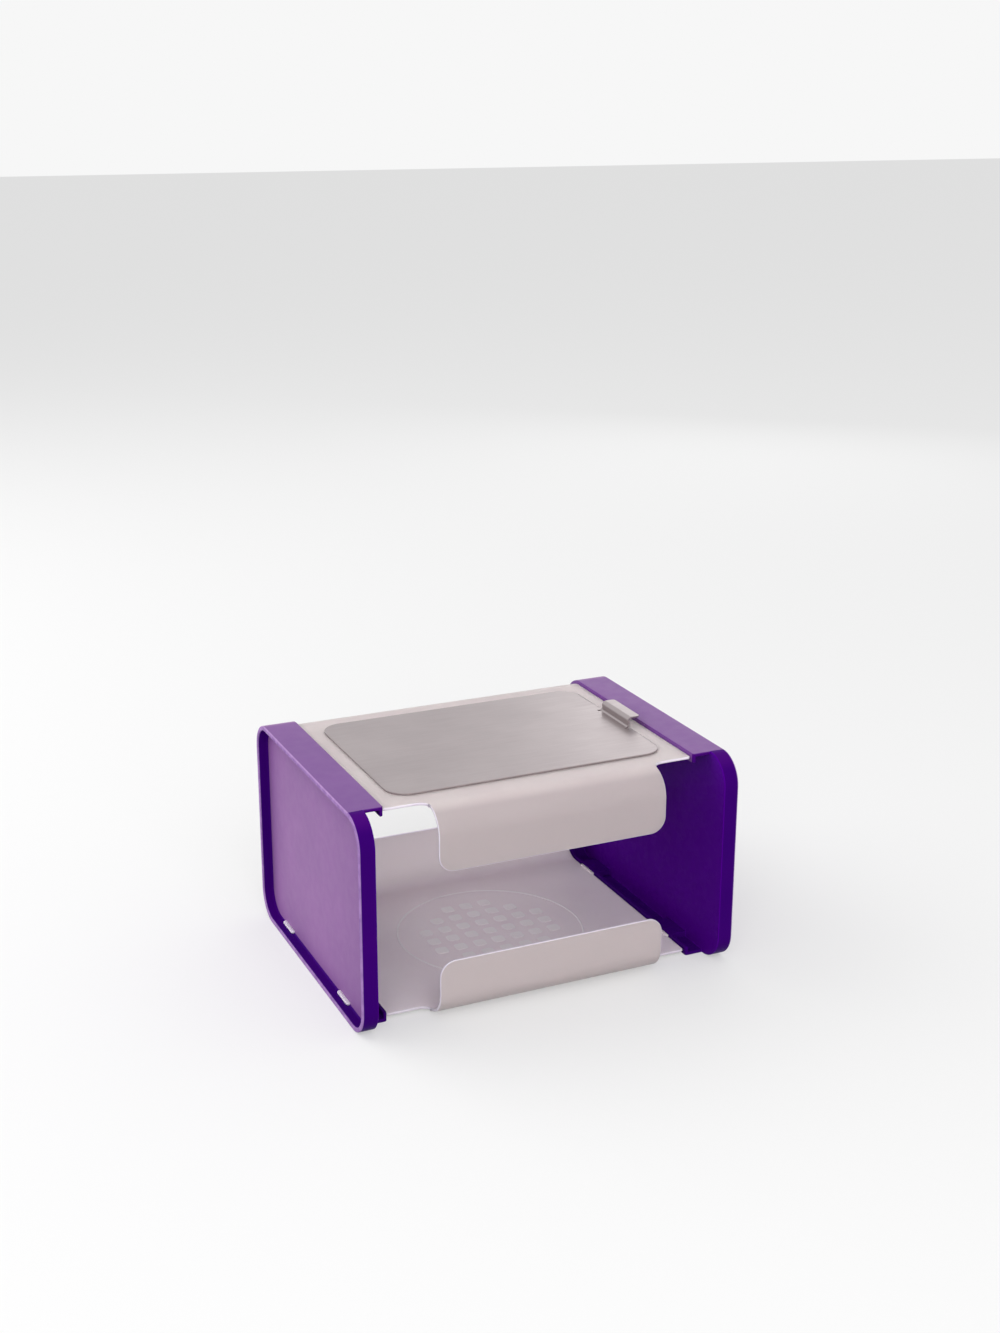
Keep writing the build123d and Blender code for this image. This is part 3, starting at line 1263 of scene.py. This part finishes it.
@dataclass
class FreezeTray:
    """The loose metal tray: a flat sheet with a finger tab bent up at its right edge."""

    low: Vector
    high: Vector
    half_length: float = 82.5 * MM
    thickness: float = 1.2 * MM
    corner_radius: float = 12.5 * MM
    edge_round: float = 0.3 * MM
    tab_width: float = 32 * MM
    tab_bend: float = 1.8 * MM
    tab_corner_radius: float = 2 * MM
    cut_width: float = 1.6 * MM
    corner_steps: int = 16
    tab_corner_steps: int = 6
    bend_steps: int = 8

    def __post_init__(self) -> None:
        """Works out the places that follow from the sizes."""
        self.centre_y = (self.low.y + self.high.y) / 2
        self.level = self.low.z + self.thickness / 2
        self.wall_x = self.half_length - self.thickness / 2
        self.bend_x = self.wall_x - self.tab_bend
        self.cut_x = self.half_length - self.tab_bend - self.cut_width
        arc = self.tab_bend * math.pi / 2
        rise = self.high.z - self.thickness / 2 - self.level
        self.second_bend_x = self.bend_x + arc + rise - 2 * self.tab_bend
        reach = self.high.x - self.wall_x - self.tab_bend
        self.flat_tip_x = self.second_bend_x + arc + reach

    def build(self, name: str) -> bpy.types.Object:
        """Models the tray.

        Args:
            name: name of the piece.

        Returns:
            The finished mesh object.
        """
        near = 0.1 * MM
        half_tab = self.tab_width / 2
        bench = Bench(name)
        bench.sheet(
            (-self.half_length, self.low.y, self.level), (self.half_length, self.high.y, self.level)
        )
        bench.points(lambda p: True)
        bench.round_corners(self.corner_radius, self.corner_steps)
        bench.cut_across((self.cut_x, 0, self.level), (1, 0, 0))
        for offset in (half_tab, half_tab + self.cut_width):
            for side in (-1, 1):
                bench.cut_across((0, self.centre_y + side * offset, self.level), (0, 1, 0))
        bench.faces(
            lambda c, n: c.x > self.cut_x
            and half_tab < abs(c.y - self.centre_y) < half_tab + self.cut_width
        )
        bpy.ops.mesh.delete(type="FACE")
        bench.edges(
            lambda a, b: min(a.x, b.x) > self.half_length - near
            and max(abs(a.y - self.centre_y), abs(b.y - self.centre_y)) < half_tab + near
        )
        bench.extrude((self.flat_tip_x - self.half_length, 0, 0))
        bench.points(lambda p: p.x > self.flat_tip_x - near)
        bench.round_corners(self.tab_corner_radius, self.tab_corner_steps)

        def on_tab(p: Vector) -> bool:
            """Says whether a point is on the finger tab."""
            return abs(p.y - self.centre_y) < half_tab + near

        for start, quarter in ((self.second_bend_x, -1), (self.bend_x, 1)):
            bench.fold(0, start, self.level, self.tab_bend, quarter, self.bend_steps, on_tab)
        tray = bench.close()
        apply_modifier(tray, "SOLIDIFY", thickness=self.thickness, offset=0, use_even_offset=True)
        recalculate(tray)
        round_sheet(tray, self.edge_round)
        smooth(tray)
        return tray


# ---------------------------------------------------------------- the studio


@dataclass(frozen=True)
class Lamp:
    """A square soft lamp: its middle, its side, its power in watts, and whether it is mirrored."""

    name: str
    place: Point
    size: float
    power: float
    gleams: bool = False

    def hang(self, aim: Point) -> None:
        """Hangs the lamp, turned towards a point.

        Args:
            aim: the point.
        """
        data = bpy.data.lights.new(self.name, "AREA")
        data.shape = "SQUARE"
        data.size = self.size
        data.energy = self.power
        lamp = bpy.data.objects.new(self.name, data)
        bpy.context.scene.collection.objects.link(lamp)
        lamp.visible_glossy = self.gleams
        lamp.location = self.place
        direction = Vector(aim) - Vector(self.place)
        lamp.rotation_euler = direction.to_track_quat("-Z", "Y").to_euler()


@dataclass
class Studio:
    """A pale floor, a pale surround, soft lamps and the camera."""

    camera_place: Point = (-396.40 * MM, -875.76 * MM, 482.08 * MM)
    azimuth: float = -24.673
    elevation: float = 18.091
    roll: float = 0.149
    picture_height: int = 1333
    focal_pixels: float = 1792.98
    sensor: float = 36.0
    aim: Point = (0, 0, 0.06)
    surround: float = 0.72
    surround_seen: float = 0.93
    floor_reach: float = 9
    floor_grey: Colour = (0.50, 0.50, 0.50, 1)
    floor_glow: float = 0.38
    lamps: tuple[Lamp, ...] = (
        Lamp("key", (-1.15, 0.90, 0.85), 1.7, 15.3),
        Lamp("front", (-0.62, -1.85, 1.02), 1.9, 28.5),
        Lamp("back", (1.00, 1.25, 0.55), 0.6, 1.0, True),
    )

    def build(self) -> None:
        """Sets up everything round the box."""
        self._floor()
        self._world()
        for lamp in self.lamps:
            lamp.hang(self.aim)
        self._camera()
        bpy.context.scene.view_settings.view_transform = "Standard"

    def _seen(self, tree: bpy.types.NodeTree) -> bpy.types.NodeSocket:
        """Adds nodes that give 1 for rays that show a surface, and 0 for rays that light it."""
        path = tree.nodes.new("ShaderNodeLightPath")
        total = path.outputs["Is Camera Ray"]
        for name in ("Is Glossy Ray", "Is Transmission Ray"):
            node = tree.nodes.new("ShaderNodeMath")
            node.operation = "MAXIMUM"
            tree.links.new(total, node.inputs[0])
            tree.links.new(path.outputs[name], node.inputs[1])
            total = node.outputs[0]
        return total

    def _floor(self) -> None:
        """Lays the floor, which keeps the box's shadow."""
        bench = Bench("floor")
        reach = self.floor_reach
        bench.sheet((-reach, -reach, 0), (reach, reach, 0))
        floor = bench.close()
        nodes = Nodes("pale_floor")
        tree = nodes.tree
        nodes.shade(Base_Color=self.floor_grey, Roughness=0.9, Specular_IOR_Level=0.0)
        glow = nodes.add("ShaderNodeEmission", {"Color": (1, 1, 1, 1)})
        strength = nodes.math("MULTIPLY", self._seen(tree), self.floor_glow)
        tree.links.new(strength, glow.inputs["Strength"])
        total = tree.nodes.new("ShaderNodeAddShader")
        tree.links.new(nodes.shader.outputs["BSDF"], total.inputs[0])
        tree.links.new(glow.outputs["Emission"], total.inputs[1])
        output = next(n for n in tree.nodes if n.type == "OUTPUT_MATERIAL")
        tree.links.new(total.outputs["Shader"], output.inputs["Surface"])
        floor.data.materials.append(nodes.material)

    def _world(self) -> None:
        """Gives an even, pale surround."""
        world = bpy.data.worlds.new("surround")
        bpy.context.scene.world = world
        world.use_nodes = True
        tree = world.node_tree
        background = next(n for n in tree.nodes if n.type == "BACKGROUND")
        background.inputs["Color"].default_value = (1, 1, 1, 1)
        blend = tree.nodes.new("ShaderNodeMix")
        blend.inputs["A"].default_value = self.surround
        blend.inputs["B"].default_value = self.surround_seen
        tree.links.new(self._seen(tree), blend.inputs["Factor"])
        tree.links.new(blend.outputs["Result"], background.inputs["Strength"])

    def _camera(self) -> None:
        """Places the camera by its azimuth, elevation and roll."""
        a, e, r = (math.radians(v) for v in (self.azimuth, self.elevation, self.roll))
        back = Vector((math.sin(a) * math.cos(e), -math.cos(a) * math.cos(e), math.sin(e)))
        level = Vector((math.cos(a), math.sin(a), 0))
        up = back.cross(level)
        right = level * math.cos(r) + up * math.sin(r)
        top = up * math.cos(r) - level * math.sin(r)
        data = bpy.data.cameras.new("camera")
        data.sensor_fit = "VERTICAL"
        data.sensor_height = self.sensor
        data.lens = self.focal_pixels / self.picture_height * self.sensor
        data.clip_start = 0.01
        data.clip_end = 50
        camera = bpy.data.objects.new("camera", data)
        bpy.context.scene.collection.objects.link(camera)
        turn = Matrix((right, top, back)).transposed().to_4x4()
        camera.matrix_world = Matrix.Translation(self.camera_place) @ turn
        bpy.context.scene.camera = camera


def dress(
    piece: bpy.types.Object,
    materials: tuple[bpy.types.Material, ...],
    body: str,
    node: str,
) -> None:
    """Gives a finished piece its materials, and hands it to the frame.

    Args:
        piece: the finished mesh object.
        materials: its finishes, in the order that its faces are marked in.
        body: the body that it moves with.
        node: the plain solid that it stands for.
    """
    for place, material in enumerate(materials):
        if place < len(piece.data.materials):
            piece.data.materials[place] = material
        else:
            piece.data.materials.append(material)
    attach(piece, body)
    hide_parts(node)
    faces = sum(len(p.vertices) - 2 for p in piece.data.polygons)
    log.info("%s rides on %s, %d triangles", piece.name, body, faces)


def corners(bounds: object) -> list[list[float]]:
    """Turns a box's lowest and highest corner into lists of numbers."""
    return [[float(v) for v in corner] for corner in bounds]


def main() -> None:
    """Builds the box, dresses it and sets the scene."""
    logging.basicConfig(level=logging.INFO, format="%(name)s: %(message)s")
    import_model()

    purple = tuple(MouldedPurple(texture).make() for texture in Texture)
    frosted = (
        FrostedPlastic(Face.OUTER).make(),
        FrostedEdge().make(),
        FrostedPlastic(Face.INNER).make(),
    )
    aluminium = SatinAluminium().make()

    right = EndPanel(*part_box("right_end_panel")).build("right_end")
    left = mirrored(right, "left_end", 0, 0.0)
    smooth(left)
    lower = FrostedPanel(*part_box("bottom_panel")).build("lower_panel")
    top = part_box("right_end_panel")[1].z
    upper = mirrored(lower, "upper_panel", 2, top / 2)
    smooth(upper)
    tray = FreezeTray(*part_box("quick_freeze_tray")).build("freeze_tray")

    dress(right, purple, "right_end", "right_end_panel")
    dress(left, purple, "left_end", "left_end_panel")
    dress(lower, frosted, "frosted_panels", "bottom_panel")
    dress(upper, frosted, "frosted_panels", "top_panel")
    dress(tray, (aluminium,), "tray", "quick_freeze_tray")

    Studio().build()


if __name__ == "__main__":
    main()
